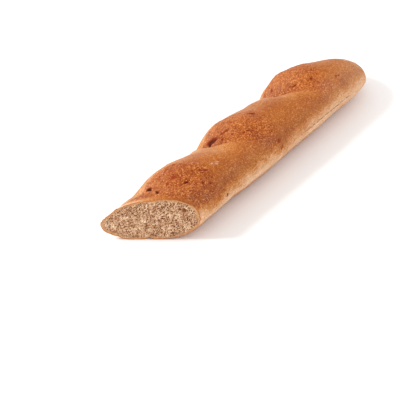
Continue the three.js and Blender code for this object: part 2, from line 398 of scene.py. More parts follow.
# %% [markdown]
# ## The crust
#
# The crust is a grid: rows along the loaf and columns round it, crowded towards the tip and the
# crown. The first rows lie on the slanted cut, where the skin turns inwards as a thin rim and then
# down the wall of a shallow pocket for the crumb. The last row closes on the tip. Broad forms are
# worked out first, and the fine relief is then moved along the surface's own normals, so that it
# stays even over the rounded tip.

# %% Crust grid
ROWS = 414
COLUMNS = 234
ROW_CROWDING = 1.25
CROWN_CROWDING, CROWDED_AT = 14, 100  # degrees by which the columns lean to the crown, and where to
CUT_STEPS = 10

column_angle = np.linspace(0, 360, COLUMNS, endpoint=False)[None, :]
column_angle = column_angle - CROWN_CROWDING * np.sin(np.radians(column_angle - CROWDED_AT))
column_angle = (column_angle + 90) % 360 - 90
cut_start = np.zeros((1, COLUMNS))
for step in range(CUT_STEPS):
    rim = section_point(cut_start, column_angle, swelling(cut_start, column_angle))
    cut_start = -rim[..., 1] / math.tan(CUT_ANGLE)

row_share = (1 - (1 - np.arange(ROWS) / ROWS) ** ROW_CROWDING)[:, None]
along = cut_start + (LENGTH - cut_start) * row_share
angle = np.broadcast_to(column_angle, along.shape)
broad = section_point(along, angle, swelling(along, angle))
print("crust grid:", broad.shape[:2], "from", broad.min((0, 1)).round(1), "to", broad.max((0, 1)).round(1))


# %% Normals of a grid
def grid_normals(points):
    """Unit normals of a grid that closes round its columns: the cross product of the steps between
    neighbours along the two directions."""
    down = np.gradient(points, axis=0)
    across = np.roll(points, -1, axis=1) - np.roll(points, 1, axis=1)
    normal = np.cross(down, across)
    normal /= np.linalg.norm(normal, axis=-1, keepdims=True) + 1e-9
    outward = points - points.mean(axis=1, keepdims=True)
    return normal * np.sign((normal * outward).sum(axis=-1).mean())


outwards = grid_normals(broad)
print("normal at the crown:", outwards[ROWS // 2, COLUMNS // 4].round(2))

# %% [markdown]
# Now the fine relief. The torn crust is a mass of small crags with pores between them, while the
# smooth skin only has low blisters. The numbers that shape the relief also steer the colours, so
# they are kept for each vertex: how torn, how ruddy, how deep, how baked and how floury. Depth sets
# the painted shade of the hollows, and the floury number also holds a painted sheen.

# %% How torn each point is
CREASE_BLUR = 12  # millimetres over which tear and skin blend where a crease is soft
CUT_TEAR_FROM, CUT_TEAR_TO = 50, 176  # degrees between which the crust at the cut is torn

number, _, past, left = bloom_fields(along, angle)
near_cut = along - cut_start
wobble = hills(broad, 11, 5) * 3.2 + hills(broad, 4.5, 6) * 1.6 + hills(broad, 2.2, 7)
edge = tear_reach(number, angle) + wobble - past  # millimetres inside the tear's wavering edge
blur = 2 + CREASE_BLUR * softness(angle)
into = smooth(0.5 + (past + wobble * 0.3) / blur) * (number > 0)
next_tear = smooth(tear_reach(np.minimum(number + 1, len(TEARS) - 1), angle) / 8)
onto = smooth(0.5 - (left - wobble * 0.3) / blur) * next_tear * (number < len(TEARS) - 1)
by_cut = smooth((angle - CUT_TEAR_FROM + wobble) / 8) * smooth((CUT_TEAR_TO + wobble - angle) / 10)
by_cut = by_cut * smooth((near_cut - 2 - 7 * smooth((118 - angle) / 30) + wobble * 0.5) / 5) * (number == 0)
tear = np.maximum(np.maximum(smooth((edge + 1) / 9) * into, onto), by_cut)
ruddy = np.maximum(np.maximum(smooth((edge + 4) / 14) * into, onto), by_cut)  # its red spreads further
print("torn share of the crust:", round(float(tear.mean()), 3))

# %% Crags, blisters and pores
ridges = 1 - 2 * np.abs(hills(broad, 5.5, 11))
lumpy = hills(broad, 3.1, 12)
gritty = hills(broad, 2.0, 13)
rough = TEARS[number, 3]
unrest = np.stack([hills(broad, 3, seed) for seed in (31, 32, 35)], axis=-1)
cobble = cobbles(broad + unrest, 3.0, 36)
crags = rough * (0.4 * ridges + 0.3 * lumpy + 0.45 * (cobble - 0.6)) + 0.25 * gritty
blisters = 0.20 * hills(broad, 8, 21) + 0.10 * lumpy + 0.085 * gritty
unrolled = np.stack([along, angle * DEGREE_LENGTH, np.zeros_like(along)], axis=-1)
swirled = unrolled + unrest * (0.9, 0.9, 0)
pores = bubbles(swirled, 3.4, (0.3, 1.25), 33, 0.55)
pinholes = bubbles(swirled + 50, 2.3, (0.15, 0.6), 34, 0.5)
print("crags from", crags.min().round(2), "to", crags.max().round(2), "mm, pores to", pores.max().round(2))

# %% Marks laid on, and the finished outer surface
PORE_DEPTH, PINHOLE_DEPTH = 0.7, 0.35  # shares of the bubbles' own depth
RAGGED = 0.6  # millimetres by which the crust's edge at the cut is torn in and out

shaken = wobble * 0.16 + hills(broad, 2.8, 42) * 0.55  # so that no mark is a clean oval
pit = marks(along + shaken, angle + shaken / DEGREE_LENGTH, PITS)
lip = marks(along + shaken, angle + shaken / DEGREE_LENGTH, LIPS, 1)
slit = marks(along, angle + hills(broad, 6, 51), SLITS, 1.4)
crevice = 0.6 * hump((edge - 1) / 1.1) * smooth(hills(broad, 9, 41) + 0.4) * (number > 0)
fine = tear * (0.9 * crags - PORE_DEPTH * rough * np.minimum(pores, 1.2))
fine += (1 - tear) * (blisters - PINHOLE_DEPTH * pinholes)
fine += lip - crevice - pit - slit + RAGGED * hills(broad, 1.9, 64) * hump(near_cut / 1.5)
fine *= smooth((broad[..., 2] + 0.5) / 4)  # the base stays flat

outer = broad + outwards * fine[..., None]
outer[..., 2] = np.maximum(outer[..., 2], 0)
print("fine relief from", fine.min().round(2), "to", fine.max().round(2), "mm")

# %% [markdown]
# ## From the rim to the pocket
#
# Cut bread shows its crust as a thin, ragged, golden line. Solidify could give the crust an even
# thickness, but the real line wanders. So the rim is moved inwards in the plane of the cut by a
# thickness that noise changes, and the wall of the pocket goes from there into the loaf.

# %% Rim and pocket
CRUST_THICKNESS = 1.5
POCKET_DEPTH = 4
POCKET_TAPER = 1.0  # the pocket is narrower by this at its floor
RIM_STEPS = 4
LENGTHWAYS = np.array([1.0, 0, 0])  # into the loaf from the cut
SIDEWAYS = np.array([math.cos(CUT_ANGLE), -math.sin(CUT_ANGLE), 0])  # along the cut
UPWARD = np.array([0, 0, 1.0])

first = outer[0]
flat = np.stack([first @ SIDEWAYS, first @ UPWARD], axis=-1)
step_along = np.roll(flat, -1, axis=0) - np.roll(flat, 1, axis=0)
inward = np.stack([-step_along[:, 1], step_along[:, 0]], axis=-1)
inward /= np.linalg.norm(inward, axis=-1, keepdims=True)
inward *= np.sign(((flat.mean(axis=0) - flat) * inward).sum(axis=-1))[:, None]
wander = 1 + 0.5 * hills(first, 5, 61) + 0.4 * hills(first, 2.1, 62)
thickness = CRUST_THICKNESS * np.clip(wander, 0.7, 1.8)
print("rim from", thickness.min().round(2), "to", thickness.max().round(2), "mm thick")


# %% Rows of the rim and the pocket
def on_cut(flat_points, depth):
    """Points in millimetres from places in the plane of the cut and depths along the loaf."""
    depth = np.broadcast_to(depth, flat_points.shape[:-1])[..., None]
    return flat_points[..., :1] * SIDEWAYS + flat_points[..., 1:] * UPWARD + depth * LENGTHWAYS


rim_shares = np.arange(1, RIM_STEPS + 1) / RIM_STEPS
rim_rows = []
for share in rim_shares:
    ring = flat + inward * (thickness * share)[:, None]
    rim_rows.append(on_cut(ring, 0.25 * hills(on_cut(ring, 0), 1.6, 63) * share))
inner_flat = flat + inward * thickness[:, None]
pocket = on_cut(inner_flat + inward * POCKET_TAPER, POCKET_DEPTH)
pocket_middle = on_cut(inner_flat.mean(axis=0)[None], POCKET_DEPTH)[0]
tip = section_point(np.array(LENGTH), np.array(0.0), np.array(0.0))
print("tip of the loaf, in mm:", tip.round(1))

# %% [markdown]
# A small helper turns any set of points and faces into a Blender mesh. It takes the points in
# millimetres measured from the middle of the cut, and shifts them so that the form's box has the
# same middle as the box of the packed solid. The object itself stays at the origin.

# %% Shift into the frame
box_middle = (broad.min((0, 1)) + broad.max((0, 1))) / 2
shift = np.array([(low + high) / 2 / MM for low, high in zip(node_low, node_high)]) - box_middle
shift[2] = 0
print("shift from the cut's middle to the frame, in mm:", shift.round(2))


# %% Meshes and faces
def build_mesh(name, points, faces, values):
    """A mesh object from points in millimetres, lists of faces, and named numbers for each vertex."""
    mesh = bpy.data.meshes.new(name)
    mesh.from_pydata(((points + shift) * MM).tolist(), [], faces)
    for label, numbers in values.items():
        layer = mesh.attributes.new(label, "FLOAT", "POINT")
        layer.data.foreach_set("value", np.ascontiguousarray(numbers, dtype=np.float32))
    mesh.shade_smooth()
    mesh.validate()
    piece = bpy.data.objects.new(name, mesh)
    bpy.context.scene.collection.objects.link(piece)
    triangles = sum(len(face) - 2 for face in faces)
    print(name, "has", len(points), "vertices and", triangles, "triangles")
    return piece


def ring_faces(rows, columns, first_vertex):
    """Quads between the rows of a grid of vertices that closes round its columns."""
    row, column = np.meshgrid(np.arange(rows - 1), np.arange(columns), indexing="ij")
    ahead = (column + 1) % columns
    corners = [row * columns + column, row * columns + ahead,
               (row + 1) * columns + ahead, (row + 1) * columns + column]
    return (np.stack(corners, axis=-1).reshape(-1, 4) + first_vertex).tolist()


def fan_faces(ring, middle):
    """Triangles from each vertex of a closed ring and the next one to a vertex in the middle."""
    return np.stack([ring, np.roll(ring, -1), np.full(len(ring), middle)], axis=-1).tolist()


print("two rows of three vertices have the quads", ring_faces(2, 3, 0))

# %% [markdown]
# ## How baked each place is, and where light and shade are painted
#
# Colour in bread is heat and time. The skin browns most on the crown and in the torn blooms, and
# stays pale on the flanks, which the neighbouring loaf shaded in the oven. Just before a furrow the
# raised edge of the skin is painted a lighter gold, a painted highlight, as are the lips beside the
# tears, and the crown's -Y side is painted darker, a painted shade. It could be painted by hand, but
# then it would not follow the form. Instead all of that is one number from 0 to 1 for each vertex,
# and the material turns it into colour.

# %% Where the skin stays pale
FLANK_ANGLE, FLANK_BLEND = 174, 46  # degrees where the -Y flank is half pale, and over how many
FLANK_DIPS = [  # along, degrees further down, reach
    (49, 15, 18), (88, 8, 18), (163, 11, 22), (205, 5, 16), (256, -7, 34)]
SIDE_TO = 56  # degrees up to which the +Y side is paler
SIDE_SKIN, SIDE_NEAR_CUT = 26, 14  # degrees more on skin, and before the second furrow
SIDE_PALE, SIDE_TEAR = 0.42, 0.27  # how pale that side is, and how much less on the later tears
FOOT = 68  # degrees round from the middle of the base where the skin starts to brown again

flank_edge = FLANK_ANGLE + hills(broad, 16, 71) * 5 + hills(broad, 5, 72) * 2
for place, further, reach in FLANK_DIPS:
    flank_edge = flank_edge + further * hump((along - place) / reach)
flank = smooth((angle - flank_edge) / FLANK_BLEND + 0.5)
side_edge = SIDE_TO + SIDE_SKIN * (1 - tear) + SIDE_NEAR_CUT * (number < 2) + hills(broad, 14, 73) * 8
side = smooth((side_edge - angle) / SIDE_TO)
from_base = 180 - np.abs((angle + 90) % 360 - 180)  # degrees round from the middle of the base
foot = smooth((FOOT - from_base) / 14)
pale = np.maximum(flank, side * (SIDE_PALE - SIDE_TEAR * tear * (number > 1))) * (1 - 0.6 * foot)
print("pale share of the crust:", round(float(pale.mean()), 2))

# %% Browning
SKIN_BAKE, PALE_BAKE, BASE_BAKE = 0.655, 0.13, 0.5  # browning of the crown's skin, the flank, the base
# SHADED_MORE is painted shade: it darkens the crown's -Y side, turned from the window lamp
TORN_MORE, SHADED_MORE = 0.05, 0.05  # added on tears, and over the crown on the -Y side
CREST_HIGHLIGHT_LESS, TIP_LESS, LIP_HIGHLIGHT_LESS, RIM_LESS = 0.16, 0.13, 0.2, 0.46
BROWNER = [  # broad patches that the oven browned more, given as the marks are
    (160, 128, 110, 50, 0.08, 0), (12, 125, 30, 26, 0.07, 0), (68, 82, 56, 28, 0.06, 0),
    (68, 148, 70, 26, 0.06, 0), (25, 152, 30, 24, 0.09, 0), (118, 102, 30, 28, 0.07, 0),
    (222, 84, 30, 26, 0.07, 0),
]

# painted highlight: the raised skin just before each furrow is painted a lighter gold
crest_highlight = hump((left - 12) / 17) * smooth((150 - angle) / 60) * (number > 0) * (number < 3)
by_rim = smooth((12 - near_cut) / 9) * smooth((106 - angle) / 40)  # on the +Y side alone
# painted shade: darker over the crown towards the -Y side, away from the window lamp
shaded = smooth((angle - 105) / 50)
tip_pale = smooth((along - (LENGTH - 54) + 0.12 * (angle - 100)) / 42)
streaks = hills(unrolled * (0.2, 1, 1), 2.6, 84)
bake = SKIN_BAKE + TORN_MORE * tear + SHADED_MORE * shaded - CREST_HIGHLIGHT_LESS * crest_highlight
# painted highlight: the lips beside the tears are painted lighter
bake -= TIP_LESS * tip_pale * (1 - 0.6 * tear) + LIP_HIGHLIGHT_LESS * lip + RIM_LESS * by_rim
bake += 0.09 * hills(broad, 17, 81) + 0.03 * hills(broad, 6, 82) + marks(along, angle, BROWNER, 1)
bake += (0.04 - 0.1 * tear) * gritty
bake -= tear * rough * (0.05 * lumpy + 0.05 * ridges + 0.08 * (cobble - 0.6))
pale_bake = PALE_BAKE + 0.04 * smooth((along - 60) / 200) + 0.04 * hills(broad, 9, 83) + 0.05 * streaks
bake = bake * (1 - pale) + pale_bake * pale
bake = np.maximum(bake, BASE_BAKE * smooth((5 - broad[..., 2]) / 5))
print("browning from", bake.min().round(2), "to", bake.max().round(2), "mean", bake.mean().round(2))

# %% [markdown]
# Hollows are painted darker than the browning alone would make them, and darker the deeper they
# are, a painted shade; scorched patches in the tears darken them further. A pale layer does the
# opposite and greys the skin here and there: on the +Y shoulder and by the cut it is a painted
# sheen, where the skin is seen at a grazing angle, and elsewhere it is bench flour and paler skin.
# The seam is so fine that its line is drawn by the material, from how far each vertex is off it.

# %% Hollows and the seam
scorched = smooth((hills(broad, 8, 86) + 0.1) / 0.7)
cracked = tear * rough * (0.36 * np.minimum(pores, 1.3) + 0.12 * (1 - cobble) + 0.16 * scorched)
# painted shade: the hollows are darker the deeper they are, with scorched patches in the tears
hollow = pit / 1.2 + slit / 2 + 0.7 * crevice + cracked + (1 - tear) * pinholes * 0.5
hollow = np.clip(hollow, 0, 1.6)
seam_off = np.clip((angle - SLIT_ANGLE) * DEGREE_LENGTH + 0.5 * hills(broad, 9, 87), -4, 4)
seam_open = (0.2 + 0.8 * smooth((along - SLIT_OPEN + 20) / 40)) * smooth((along - SLIT_FROM) / 12)
seam_open *= smooth((SLIT_TO - along) / 6) * (np.abs(angle - SLIT_ANGLE) < 20)
print("hollow share of the crust:", round(float((hollow > 0.3).mean()), 3))

# %% Flour
DUSTY = [  # patches where more of the bench flour stayed on
    (205, 178, 110, 15, 0.08, 0), (190, 66, 60, 34, 0.06, 0), (222, 42, 24, 20, 0.06, 0),
    (60, 72, 30, 14, 0.04, 0),
]

flour = marks(along + shaken * 2, angle + shaken * 3, FLOUR)
# painted sheen on the +Y shoulder and by the cut, seen at a grazing angle; paler skin on the -Y flank
film = 0.13 * smooth((108 - angle) / 60) * smooth((angle - 25) / 25) * (1 - 0.4 * tear)  # +Y shoulder
film += 0.045 * hump((angle - 158) / 24)  # a faint band along the -Y flank
film += 0.09 * smooth((along - 225) / 45) * smooth((angle - 100) / 45)  # that flank near the tip
film += 0.12 * smooth((14 - along) / 20) * smooth((85 - angle) / 35)  # the +Y side by the cut
film += marks(along, angle, DUSTY, 1)
film = np.clip(film * (1 + 0.5 * hills(broad, 7, 85)), 0, 1)
print("thickest film:", film.max().round(2))


# %% Crust piece
def crust_values(outer_values, rim_values=np.zeros(RIM_STEPS), fill=0.0):
    """One number for each vertex of the crust: the pocket and the rim first, then the outer grid."""
    pocket_values = np.full(COLUMNS + 1, fill)
    return np.concatenate([
        pocket_values, np.repeat(rim_values, COLUMNS), outer_values.ravel(), [outer_values[-1, 0]]])


crust_points = np.concatenate([
    pocket_middle[None], pocket, *reversed(rim_rows), outer.reshape(-1, 3), tip[None]])
grid_rows = 1 + RIM_STEPS + ROWS
ring = np.arange(COLUMNS)
last_ring = 1 + (grid_rows - 1) * COLUMNS + ring
crust_faces = ring_faces(grid_rows, COLUMNS, 1)
crust_faces += fan_faces(1 + ring[::-1], 0) + fan_faces(last_ring, len(crust_points) - 1)
crust = build_mesh("crust", crust_points, crust_faces, {
    "bake": crust_values(bake, np.full(RIM_STEPS, 0.4), 0.3),
    "tear": crust_values(tear * np.minimum(0.5 + 0.5 * rough, 1)),
    "ruddy": crust_values(ruddy),
    "hollow": crust_values(hollow),
    "film": crust_values(film),
    "seam_off": crust_values(seam_off, np.full(RIM_STEPS, 4.0), 4.0),
    "seam_open": crust_values(seam_open),
    "flour": crust_values(flour),
    "cut": crust_values(np.zeros_like(bake), 1 - np.arange(RIM_STEPS) / RIM_STEPS, 1.0),
})

# %% [markdown]
# ## The crumb
#
# The inside of bread is a foam, so the cut shows bubbles sliced open at every depth. Drawing round
# holes would look like a sponge toy. Instead three foams of spheres are really cut by the plane, and
# each vertex sinks to the far wall of the bubble that it falls in. A fourth, even foam of small
# cells fills what is left between them. All of them are stretched along a slant, because the dough
# was rolled, and the disc comes from a square grid, so that it has no crowded middle.

# %% Crumb disc
CRUMB_ACROSS, CRUMB_UP = 400, 220
CRUMB_OVERLAP = 0.6  # millimetres that the disc reaches under the rim

square_u, square_v = np.meshgrid(
    np.linspace(-1, 1, CRUMB_ACROSS + 1), np.linspace(-1, 1, CRUMB_UP + 1), indexing="ij")
disc_u = square_u * np.sqrt(1 - square_v ** 2 / 2)
disc_v = square_v * np.sqrt(1 - square_u ** 2 / 2)
disc_radius = np.hypot(disc_u, disc_v)
crumb_centre = (inner_flat.min(axis=0) + inner_flat.max(axis=0)) / 2
half = (inner_flat.max(axis=0) - inner_flat.min(axis=0)) / 2
edge_flat = (flat + inward * (thickness - CRUMB_OVERLAP)[:, None] - crumb_centre) / half
edge_turn = np.arctan2(edge_flat[:, 1], edge_flat[:, 0])
edge_order = np.argsort(edge_turn)
edge_radius = np.interp(np.arctan2(disc_v, disc_u), edge_turn[edge_order],
                        np.linalg.norm(edge_flat, axis=1)[edge_order], period=2 * np.pi)
crumb_flat = crumb_centre + np.stack([disc_u, disc_v], axis=-1) * edge_radius[..., None] * half
print("crumb disc:", (2 * half).round(1), "mm across and up")

# %% Bubbles in the crumb
GRAIN_TURN = math.radians(62)
GRAIN_STRETCH = 1.9
FOAMS = [  # where the foam is taken from, spacing, radii, seed, share of the cubes with a bubble
    (0, 3.8, (0.5, 1.15), 101, 0.3), (40, 1.7, (0.4, 0.8), 102, 0.95), (80, 1.1, (0.28, 0.55), 103, 0.9)]
DENSE_AT, DENSE_REACH = (29, 31), 10  # a closer crumb round the cavity, in the plane of the cut

bent = np.concatenate([crumb_flat, np.zeros(crumb_flat.shape[:-1] + (1,))], axis=-1)
bent[..., 0] += 1.1 * hills(bent, 4, 91)
bent[..., 1] += 1.1 * hills(bent, 4, 92)
grain_u = (bent[..., 0] * math.cos(GRAIN_TURN) + bent[..., 1] * math.sin(GRAIN_TURN)) / GRAIN_STRETCH
grain_v = bent[..., 1] * math.cos(GRAIN_TURN) - bent[..., 0] * math.sin(GRAIN_TURN)
foam = np.stack([grain_u, grain_v, np.zeros_like(grain_u)], axis=-1)
opened = np.max([bubbles(foam + start, *recipe) for start, *recipe in FOAMS], axis=0)
rounding = smooth((1 - disc_radius) * 14)  # the foam grows shallow at the rim
close = hump((crumb_flat - DENSE_AT) / DENSE_REACH).prod(axis=-1)
depth = opened * (0.25 + 0.75 * rounding) * (1 - 0.6 * close)
print("open bubbles cover", round(float((depth > 0.2).mean()), 2), "of the crumb")

# %% Fine cells, the cavity and the finished face
CELL_SIZE, CELL_DEPTH = 1.3, 1.45
CAVITY_AT, CAVITY_REACH, CAVITY_DEPTH = (29.1, 32.7), (2.5, 2.7), 2.4
DEEPEST = 2.6

cells = cobbles(foam + 120, CELL_SIZE, 106) * (0.72 + 0.36 * hills(foam, 2.4, 107))
from_cavity = (crumb_flat - CAVITY_AT) / CAVITY_REACH
cavity = CAVITY_DEPTH * np.exp(-np.square(from_cavity).sum(axis=-1) ** 2)
ripple = 0.12 * hills(bent, 5, 104) + 0.1 * hills(bent, 0.9, 105) - 0.3
crumb_depth = np.maximum(np.maximum(depth, CELL_DEPTH * cells * rounding), cavity)
crumb_depth = np.minimum(crumb_depth, DEEPEST) + ripple * rounding
crumb_front = on_cut(crumb_flat, crumb_depth)
print("crumb from", crumb_depth.min().round(2), "to", crumb_depth.max().round(2), "mm deep")

# %% Crumb piece
CRUMB_BACK = 3.4  # how deep the flat back of the piece lies
CRUMB_TAPER = 0.96

# painted shade: the crumb's colour darkens with the depth of its bubble, less in the big cavity
sunk = np.clip((crumb_depth + 0.6) / 2.6, 0, 1) * (1 - 0.4 * smooth(cavity))  # 1 in a deep bubble
index = np.arange(sunk.size).reshape(sunk.shape)
front_faces = np.stack([index[:-1, :-1], index[1:, :-1], index[1:, 1:], index[:-1, 1:]], axis=-1)
loop = np.concatenate([index[:-1, 0], index[-1, :-1], index[:0:-1, -1], index[0, :0:-1]])
back_flat = crumb_centre + (crumb_flat.reshape(-1, 2)[loop] - crumb_centre) * CRUMB_TAPER
back_loop = sunk.size + np.arange(len(loop))
wall_faces = np.stack([np.roll(loop, -1), loop, back_loop, np.roll(back_loop, -1)], axis=-1)
crumb_faces = front_faces.reshape(-1, 4).tolist() + wall_faces.tolist()
crumb_faces += fan_faces(back_loop[::-1], sunk.size + len(loop))
crumb_points = np.concatenate([
    crumb_front.reshape(-1, 3), on_cut(back_flat, CRUMB_BACK), on_cut(crumb_centre[None], CRUMB_BACK)])
rest = len(loop) + 1
crumb = build_mesh("crumb", crumb_points, crumb_faces, {
    "sunk": np.concatenate([sunk.ravel(), np.zeros(rest)]),
    "rimward": np.concatenate([smooth((disc_radius - 0.9) * 9).ravel(), np.ones(rest)]),
})

# %% [markdown]
# ## Materials
#
# Both materials are procedural. They read the numbers stored on the vertices for what follows the
# form, and noise on Object coordinates for what doesn't. Colours are written as everyday red, green
# and blue values from 0 to 255, and a helper turns them into the linear light that shaders use.
# Nodes could be placed and joined by hand, but short methods make the recipe readable.


# %% Colours
def paint(red, green, blue):
    """A linear colour from everyday values: below 0.04045 divided by 12.92, above it a power of 2.4."""
    parts = np.array([red, green, blue]) / 255
    linear = np.where(parts < 0.04045, parts / 12.92, ((parts + 0.055) / 1.055) ** 2.4)
    return (*[float(part) for part in linear], 1.0)


print("golden crust in linear light:", [round(part, 3) for part in paint(185, 119, 57)])


# %% Nodes of a material
class Wiring:
    """A material and short ways to add and join its nodes."""

    def __init__(self, name):
        self.material = bpy.data.materials.new(name)
        self.material.use_nodes = True
        self.tree = self.material.node_tree
        self.shader = self.tree.nodes["Principled BSDF"]
        self.place = self.tree.nodes.new("ShaderNodeTexCoord").outputs["Object"]

    def set(self, socket, value):
        """Sets a socket to a value, or joins it to another node's output."""
        if isinstance(value, bpy.types.NodeSocket):
            self.tree.links.new(value, socket)
        else:
            socket.default_value = value

    def number(self, label):
        """The number stored for each vertex under this name."""
        found = self.tree.nodes.new("ShaderNodeAttribute")
        found.attribute_name = label
        return found.outputs["Fac"]

    def noise(self, size, detail=2.0, roughness=0.5, stretch=1.0):
        """Noise from 0 to 1 with features of about the given size, so many times as long in x."""
        made = self.tree.nodes.new("ShaderNodeTexNoise")
        squeezed = self.tree.nodes.new("ShaderNodeVectorMath")
        squeezed.operation = "MULTIPLY"
        self.set(squeezed.inputs[0], self.place)
        self.set(squeezed.inputs[1], (1 / stretch, 1, 1))
        self.set(made.inputs["Vector"], squeezed.outputs["Vector"])
        self.set(made.inputs["Scale"], 1 / (size * MM))
        self.set(made.inputs["Detail"], detail)
        self.set(made.inputs["Roughness"], roughness)
        return made.outputs["Fac"]

    def math(self, operation, first, second=0.0, third=0.0):
        """Arithmetic on two or three numbers or outputs."""
        made = self.tree.nodes.new("ShaderNodeMath")
        made.operation = operation
        for socket, value in zip(made.inputs, (first, second, third)):
            self.set(socket, value)
        return made.outputs[0]

    def band(self, value, low, high):
        """A soft step: 0 where the value is under low, 1 where it is over high."""
        made = self.tree.nodes.new("ShaderNodeMapRange")
        made.interpolation_type = "SMOOTHSTEP"
        for label, given in (("Value", value), ("From Min", low), ("From Max", high)):
            self.set(made.inputs[label], given)
        return made.outputs["Result"]

    def ramp(self, value, stops):
        """A colour that changes along the given (position, colour) stops."""
        made = self.tree.nodes.new("ShaderNodeValToRGB")
        self.set(made.inputs["Fac"], value)
        elements = made.color_ramp.elements
        while len(elements) < len(stops):
            elements.new(0.5)
        for element, (position, colour) in zip(elements, stops):
            element.position = position
            element.color = colour
        return made.outputs["Color"]

    def mix(self, share, under, over):
        """The under colour with a share of the over colour laid on it."""
        made = self.tree.nodes.new("ShaderNodeMix")
        made.data_type = "RGBA"
        self.set(made.inputs["Factor"], share)
        self.set(made.inputs[6], under)
        self.set(made.inputs[7], over)
        return made.outputs[2]

    def bump(self, height, distance, normal=None):
        """A bump of this many millimetres, over the normal of an earlier one if there is one."""
        made = self.tree.nodes.new("ShaderNodeBump")
        self.set(made.inputs["Height"], height)
        self.set(made.inputs["Distance"], distance * MM)
        if normal:
            self.set(made.inputs["Normal"], normal)
        return made.outputs["Normal"]


print("ways to add nodes:", [name for name in vars(Wiring) if not name.startswith("_")])

# %% [markdown]
# ### Crust finish
#
# Real skin is mottled. One ramp over the browning number would look airbrushed, so four noises
# shake the number first, and one of them is drawn out along the loaf. Two ramps turn it into colour,
# a golden one for skin and a redder one for tears. The specks, the painted sheen with its flour and
# the spots of flour, the painted shade of the hollows, the line of the seam and the rim of the cut
# are laid on that, one over the other.

# %% Browns of skin and of tears
SKIN = [
    (0.00, paint(232, 197, 167)),
    (0.22, paint(213, 166, 124)),
    (0.45, paint(185, 119, 57)),
    (0.66, paint(163, 89, 24)),
    (0.88, paint(143, 67, 14)),
    (1.00, paint(120, 51, 11)),
]
TORN = [
    (0.00, paint(230, 176, 126)),
    (0.30, paint(206, 134, 76)),
    (0.52, paint(182, 101, 41)),
    (0.70, paint(161, 79, 23)),
    (0.90, paint(132, 55, 14)),
    (1.00, paint(106, 40, 11)),
]


def browned_colour(wiring, torn, grain, dust):
    """The browning number, with its painted highlight and shade, each noise added, less on pale skin, as a
    colour of skin or tear.
    """
    browned_and_lit = wiring.number("bake")
    calm = wiring.math("MULTIPLY_ADD", wiring.band(browned_and_lit, 0.1, 0.5), 0.3, 0.7)
    mottle = wiring.noise(6, 3, 0.6)
    streak = wiring.noise(1.3, 2, 0.6, 4)
    for pattern, on_skin, more_on_tears in (
            (mottle, 0.25, 0.35), (grain, 0.6, 0.5), (dust, 0.7, 0.5), (streak, 0.5, 0)):
        share = wiring.math("MULTIPLY", wiring.math("MULTIPLY_ADD", torn, more_on_tears, on_skin), calm)
        browned_and_lit = wiring.math("MULTIPLY_ADD", wiring.math("SUBTRACT", pattern, 0.5), share, browned_and_lit)
    redder = wiring.math("MULTIPLY", wiring.number("ruddy"), 0.75)
    return wiring.mix(redder, wiring.ramp(browned_and_lit, SKIN), wiring.ramp(browned_and_lit, TORN))


print(len(SKIN), "browns for skin and", len(TORN), "for tears")

# %% Specks and flour
SPECKS = [  # where the noise is from and to, share on skin, more on tears, colour
    (0.54, 0.66, 0.38, 0.30, paint(226, 150, 94)),
    (0.45, 0.33, 0.38, 0.22, paint(136, 66, 28)),
]


def speckled(wiring, colour, torn):
    """The colour with light specks where one noise is high, and dark ones where it is low."""
    speck = wiring.noise(1.4, 2, 0.6)
    for low, high, on_skin, more_on_tears, speck_colour in SPECKS:
        share = wiring.math("MULTIPLY_ADD", torn, more_on_tears, on_skin)
        share = wiring.math("MULTIPLY", wiring.band(speck, low, high), share)
        colour = wiring.mix(share, colour, speck_colour)
    return colour


def sheened_and_floured(wiring, colour):
    """The colour greyed by painted sheen and bench flour, then by the flour's few thick spots."""
    # painted sheen and bench flour: this pales the skin towards a light grey
    colour = wiring.mix(wiring.number("film"), colour, paint(214, 180, 156))
    patchy = wiring.band(wiring.noise(1.5, 2, 0.6), 0.35, 0.6)
    powder = wiring.math("MULTIPLY", wiring.number("flour"), patchy)
    return wiring.mix(wiring.math("MULTIPLY", powder, 0.65), colour, paint(232, 208, 190))


print(len(SPECKS), "kinds of speck")


# %% Hollows, seam and rim
SEAM_LINE = (0.85, 0.35)  # millimetres off the seam at which its line is gone, and at which it is full


def darkened(wiring, colour):
    """Red-brown hollows in painted shade, darker the deeper they are, and the seam's broken line."""
    sunken = wiring.number("hollow")
    colour = wiring.mix(wiring.band(sunken, 0.1, 0.7), colour, paint(144, 58, 22))
    colour = wiring.mix(wiring.band(sunken, 0.6, 1.5), colour, paint(80, 28, 11))
    near_seam = wiring.band(wiring.math("ABSOLUTE", wiring.number("seam_off")), *SEAM_LINE)
    dashes = wiring.band(wiring.noise(1.6, 1, 0.5, 2), 0.36, 0.46)
    line = wiring.math("MULTIPLY", wiring.math("MULTIPLY", near_seam, dashes), wiring.number("seam_open"))
    return wiring.mix(wiring.math("MULTIPLY", line, 0.85), colour, paint(98, 50, 24))


def rimmed(wiring, colour):
    """The colour with the cut crust on the rim: brown outside, pale where it meets the crumb."""
    cut = wiring.number("cut")
    from_skin = wiring.math("MULTIPLY_ADD", wiring.noise(2, 3, 0.7), 1.4, wiring.math("SUBTRACT", cut, 0.7))
    rim_colour = wiring.ramp(from_skin, [
        (0.0, paint(146, 78, 34)),
        (0.35, paint(190, 120, 66)),
        (1.0, paint(210, 162, 118)),
    ])
    return wiring.mix(wiring.band(cut, 0.02, 0.2), colour, rim_colour)


print("the seam's line is up to", 2 * SEAM_LINE[0], "mm wide")


